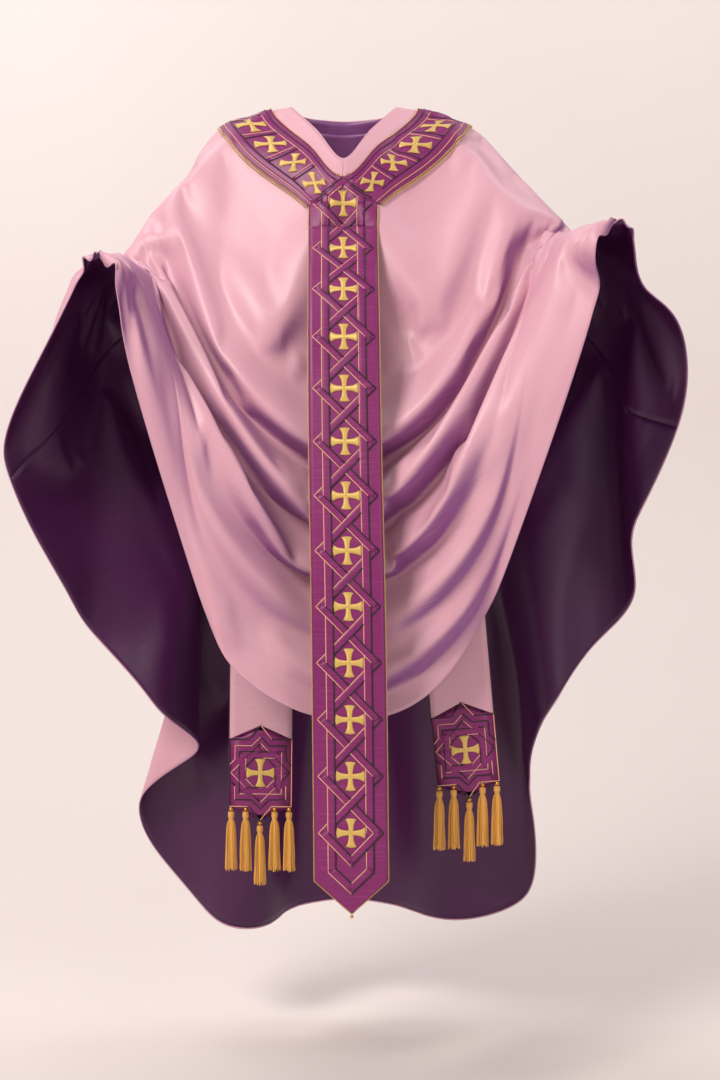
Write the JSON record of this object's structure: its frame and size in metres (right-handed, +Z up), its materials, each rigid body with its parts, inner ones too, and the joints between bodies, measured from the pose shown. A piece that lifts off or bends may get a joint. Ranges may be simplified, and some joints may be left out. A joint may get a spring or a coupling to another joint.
{
  "type": "chasuble",
  "caption": "Full rose silk liturgical vestment with a purple lining, a Y-shaped purple orphrey whose pillars hang free, and its matching tasselled stole.",
  "frame": {"origin": "centre of the neck opening, at the height where the cloth rests on the wearer's shoulders beside the neck", "axes": "+Z up, -Y towards the front, +X to the wearer's left"},
  "size_m": [1.0998, 0.5946, 1.406],
  "materials": {
    "rose_silk": "satin, shot silk with a violet sheen and fine cross slubs",
    "purple_lining": "satin acetate lining",
    "purple_silk": "satin dupion silk",
    "gold_embroidery": "glossy rayon satin stitch",
    "gold_cord": "twisted metallic thread",
    "gold_silk_thread": "loose glossy rayon thread",
    "gilt_metal": "polished",
    "canvas": "matt woven canvas"
  },
  "bodies": {
    "chasuble": {"front_left_silk": "rose_silk", "front_left_lining": "purple_lining", "back_left_silk": "rose_silk", "back_left_lining": "purple_lining", "back_right_silk": "rose_silk", "back_right_lining": "purple_lining", "front_right_silk": "rose_silk", "front_right_lining": "purple_lining", "neck_facing": "rose_silk", "yoke_band_left": "purple_silk", "front_yoke_stitching_left": "gold_embroidery", "back_yoke_stitching_left": "gold_embroidery", "yoke_band_right": "purple_silk", "front_yoke_stitching_right": "gold_embroidery", "back_yoke_stitching_right": "gold_embroidery", "front_yoke_cross": "gold_embroidery", "back_yoke_cross": "gold_embroidery", "stole_neck": "rose_silk"},
    "front_pillar": {"front_pillar_backing": "purple_lining", "front_pillar_interlining": "canvas", "front_pillar_face": "purple_silk", "front_pillar_stitching": "gold_embroidery", "front_pillar_piping": "gold_cord", "front_pillar_bead": "gilt_metal"},
    "back_pillar": {"back_pillar_backing": "purple_lining", "back_pillar_interlining": "canvas", "back_pillar_face": "purple_silk", "back_pillar_stitching": "gold_embroidery", "back_pillar_piping": "gold_cord", "back_pillar_bead": "gilt_metal"},
    "stole_end_left": {"stole_lining_left": "purple_lining", "stole_interlining_left": "canvas", "stole_silk_left": "rose_silk", "star_panel_left": "purple_silk", "star_cross_left": "gold_embroidery"},
    "hanging_tassel_left_1": {"tassel_bead_left_1": "gilt_metal", "tassel_left_1": "gold_silk_thread"},
    "hanging_tassel_left_2": {"tassel_bead_left_2": "gilt_metal", "tassel_left_2": "gold_silk_thread"},
    "hanging_tassel_left_3": {"tassel_bead_left_3": "gilt_metal", "tassel_left_3": "gold_silk_thread"},
    "hanging_tassel_left_4": {"tassel_bead_left_4": "gilt_metal", "tassel_left_4": "gold_silk_thread"},
    "hanging_tassel_left_5": {"tassel_bead_left_5": "gilt_metal", "tassel_left_5": "gold_silk_thread"},
    "stole_end_right": {"stole_lining_right": "purple_lining", "stole_interlining_right": "canvas", "stole_silk_right": "rose_silk", "star_panel_right": "purple_silk", "star_cross_right": "gold_embroidery"},
    "hanging_tassel_right_1": {"tassel_bead_right_1": "gilt_metal", "tassel_right_1": "gold_silk_thread"},
    "hanging_tassel_right_2": {"tassel_bead_right_2": "gilt_metal", "tassel_right_2": "gold_silk_thread"},
    "hanging_tassel_right_3": {"tassel_bead_right_3": "gilt_metal", "tassel_right_3": "gold_silk_thread"},
    "hanging_tassel_right_4": {"tassel_bead_right_4": "gilt_metal", "tassel_right_4": "gold_silk_thread"},
    "hanging_tassel_right_5": {"tassel_bead_right_5": "gilt_metal", "tassel_right_5": "gold_silk_thread"}
  },
  "joints": [
    {"name": "front_pillar_swing", "type": "hinge", "parent": "chasuble", "child": "front_pillar", "pos_m": [0, -0.17925, -0.22415], "axis": [-1, 0, 0], "range_deg": [0, 30]},
    {"name": "back_pillar_swing", "type": "hinge", "parent": "chasuble", "child": "back_pillar", "pos_m": [0, 0.13913, -0.14332], "axis": [1, 0, 0], "range_deg": [0, 30]},
    {"name": "stole_end_left_swing", "type": "hinge", "parent": "chasuble", "child": "stole_end_left", "pos_m": [0.142, -0.157, -0.452], "axis": [-1, 0, 0], "range_deg": [-6, 8]},
    {"name": "tassel_left_1_swing", "type": "hinge", "parent": "stole_end_left", "child": "hanging_tassel_left_1", "pos_m": [0.15317, -0.1634, -1.12191], "axis": [-1, 0, 0], "range_deg": [-25, 25]},
    {"name": "tassel_left_2_swing", "type": "hinge", "parent": "stole_end_left", "child": "hanging_tassel_left_2", "pos_m": [0.17608, -0.1634, -1.11995], "axis": [-1, 0, 0], "range_deg": [-25, 25]},
    {"name": "tassel_left_3_swing", "type": "hinge", "parent": "stole_end_left", "child": "hanging_tassel_left_3", "pos_m": [0.20087, -0.1635, -1.1399], "axis": [-1, 0, 0], "range_deg": [-25, 25]},
    {"name": "tassel_left_4_swing", "type": "hinge", "parent": "stole_end_left", "child": "hanging_tassel_left_4", "pos_m": [0.22192, -0.1634, -1.11602], "axis": [-1, 0, 0], "range_deg": [-25, 25]},
    {"name": "tassel_left_5_swing", "type": "hinge", "parent": "stole_end_left", "child": "hanging_tassel_left_5", "pos_m": [0.24483, -0.1634, -1.11406], "axis": [-1, 0, 0], "range_deg": [-25, 25]},
    {"name": "stole_end_right_swing", "type": "hinge", "parent": "chasuble", "child": "stole_end_right", "pos_m": [-0.125, -0.157, -0.452], "axis": [-1, 0, 0], "range_deg": [-6, 8]},
    {"name": "tassel_right_1_swing", "type": "hinge", "parent": "stole_end_right", "child": "hanging_tassel_right_1", "pos_m": [-0.178, -0.1634, -1.15453], "axis": [-1, 0, 0], "range_deg": [-25, 25]},
    {"name": "tassel_right_2_swing", "type": "hinge", "parent": "stole_end_right", "child": "hanging_tassel_right_2", "pos_m": [-0.155, -0.1634, -1.15476], "axis": [-1, 0, 0], "range_deg": [-25, 25]},
    {"name": "tassel_right_3_swing", "type": "hinge", "parent": "stole_end_right", "child": "hanging_tassel_right_3", "pos_m": [-0.13222, -0.16349, -1.17698], "axis": [-1, 0, 0], "range_deg": [-25, 25]},
    {"name": "tassel_right_4_swing", "type": "hinge", "parent": "stole_end_right", "child": "hanging_tassel_right_4", "pos_m": [-0.109, -0.1634, -1.15521], "axis": [-1, 0, 0], "range_deg": [-25, 25]},
    {"name": "tassel_right_5_swing", "type": "hinge", "parent": "stole_end_right", "child": "hanging_tassel_right_5", "pos_m": [-0.086, -0.1634, -1.15544], "axis": [-1, 0, 0], "range_deg": [-25, 25]}
  ]
}
